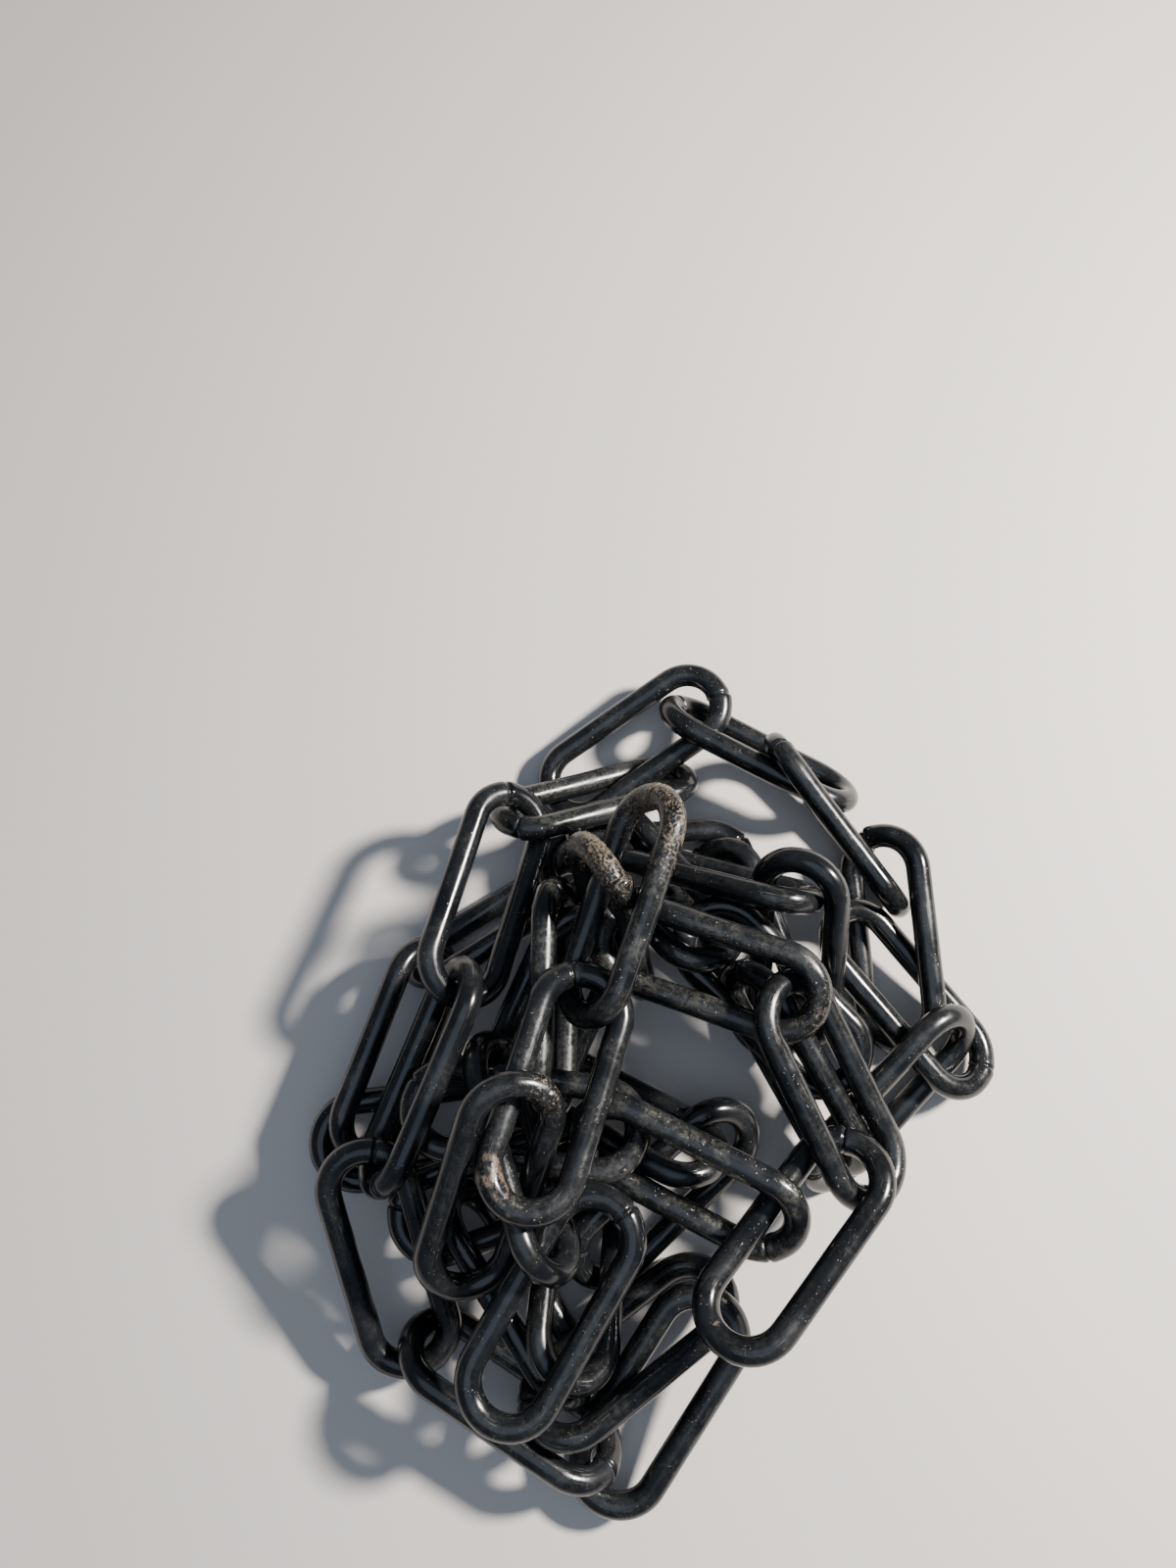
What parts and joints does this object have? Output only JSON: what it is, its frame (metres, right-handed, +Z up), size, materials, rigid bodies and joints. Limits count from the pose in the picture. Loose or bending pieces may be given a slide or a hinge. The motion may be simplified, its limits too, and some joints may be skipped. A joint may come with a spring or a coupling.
{
  "type": "heap of long-link chain",
  "caption": "Loose heap of black enamelled long-link steel chain, dropped in a pile, with dusty and rust-worn bends.",
  "frame": {"origin": "bottom centre of the heap's bounding box, on the floor", "axes": "+Z up; +Y away from the viewer of the picture, along the heap's longer side; +X to the viewer's right"},
  "size_m": [0.2202, 0.2669, 0.0765],
  "materials": {
    "link_01_steel": "black glossy enamel on steel, dusty, rust on the bends",
    "link_02_steel": "black glossy enamel on steel, dusty, rust on the bends",
    "link_03_steel": "black glossy enamel on steel, dusty, rust on the bends",
    "link_04_steel": "black glossy enamel on steel, dusty, rust on the bends",
    "link_05_steel": "black glossy enamel on steel, dusty, rust on the bends",
    "link_06_steel": "black glossy enamel on steel, dusty, rust on the bends",
    "link_07_steel": "black glossy enamel on steel, dusty, rust on the bends",
    "link_08_steel": "black glossy enamel on steel, dusty, rust on the bends",
    "link_09_steel": "black glossy enamel on steel, dusty, rust on the bends",
    "link_10_steel": "black glossy enamel on steel, dusty, rust on the bends",
    "link_11_steel": "black glossy enamel on steel, dusty, rust on the bends",
    "link_12_steel": "black glossy enamel on steel, dusty, rust on the bends",
    "link_13_steel": "black glossy enamel on steel, dusty, rust on the bends",
    "link_14_steel": "black glossy enamel on steel, dusty, rust on the bends",
    "link_15_steel": "black glossy enamel on steel, dusty, rust on the bends",
    "link_16_steel": "black glossy enamel on steel, dusty, rust on the bends",
    "link_17_steel": "black glossy enamel on steel, dusty, rust on the bends",
    "link_18_steel": "black glossy enamel on steel, dusty, rust on the bends",
    "link_19_steel": "black glossy enamel on steel, dusty, rust on the bends",
    "link_20_steel": "black glossy enamel on steel, dusty, rust on the bends",
    "link_21_steel": "black glossy enamel on steel, dusty, rust on the bends",
    "link_22_steel": "black glossy enamel on steel, dusty, rust on the bends",
    "link_23_steel": "black glossy enamel on steel, dusty, rust on the bends",
    "link_24_steel": "black glossy enamel on steel, dusty, rust on the bends",
    "link_25_steel": "black glossy enamel on steel, dusty, rust on the bends",
    "link_26_steel": "black glossy enamel on steel, dusty, rust on the bends",
    "link_27_steel": "black glossy enamel on steel, dusty, rust on the bends",
    "link_28_steel": "black glossy enamel on steel, dusty, rust on the bends",
    "link_29_steel": "black glossy enamel on steel, dusty, rust on the bends",
    "link_30_steel": "black glossy enamel on steel, dusty, rust on the bends",
    "link_31_steel": "black glossy enamel on steel, dusty, rust on the bends",
    "link_32_steel": "black glossy enamel on steel, dusty, rust on the bends",
    "link_33_steel": "black glossy enamel on steel, dusty, rust on the bends",
    "link_34_steel": "black glossy enamel on steel, dusty, rust on the bends",
    "link_35_steel": "black glossy enamel on steel, dusty, rust on the bends",
    "link_36_steel": "black glossy enamel on steel, dusty, rust on the bends",
    "link_37_steel": "black glossy enamel on steel, dusty, rust on the bends",
    "link_38_steel": "black glossy enamel on steel, dusty, rust on the bends",
    "link_39_steel": "black glossy enamel on steel, dusty, rust on the bends",
    "link_40_steel": "black glossy enamel on steel, dusty, rust on the bends",
    "link_41_steel": "black glossy enamel on steel, dusty, rust on the bends"
  },
  "bodies": {
    "root": {"link_01": "link_01_steel", "link_02": "link_02_steel", "link_03": "link_03_steel", "link_04": "link_04_steel", "link_05": "link_05_steel", "link_06": "link_06_steel", "link_07": "link_07_steel", "link_08": "link_08_steel", "link_09": "link_09_steel", "link_10": "link_10_steel", "link_11": "link_11_steel", "link_12": "link_12_steel", "link_13": "link_13_steel", "link_14": "link_14_steel", "link_15": "link_15_steel", "link_16": "link_16_steel", "link_17": "link_17_steel", "link_18": "link_18_steel", "link_19": "link_19_steel", "link_20": "link_20_steel", "link_21": "link_21_steel", "link_22": "link_22_steel", "link_23": "link_23_steel", "link_24": "link_24_steel", "link_25": "link_25_steel", "link_26": "link_26_steel", "link_27": "link_27_steel", "link_28": "link_28_steel", "link_29": "link_29_steel", "link_30": "link_30_steel", "link_31": "link_31_steel", "link_32": "link_32_steel", "link_33": "link_33_steel", "link_34": "link_34_steel", "link_35": "link_35_steel", "link_36": "link_36_steel", "link_37": "link_37_steel", "link_38": "link_38_steel", "link_39": "link_39_steel", "link_40": "link_40_steel", "link_41": "link_41_steel"}
  },
  "joints": []
}
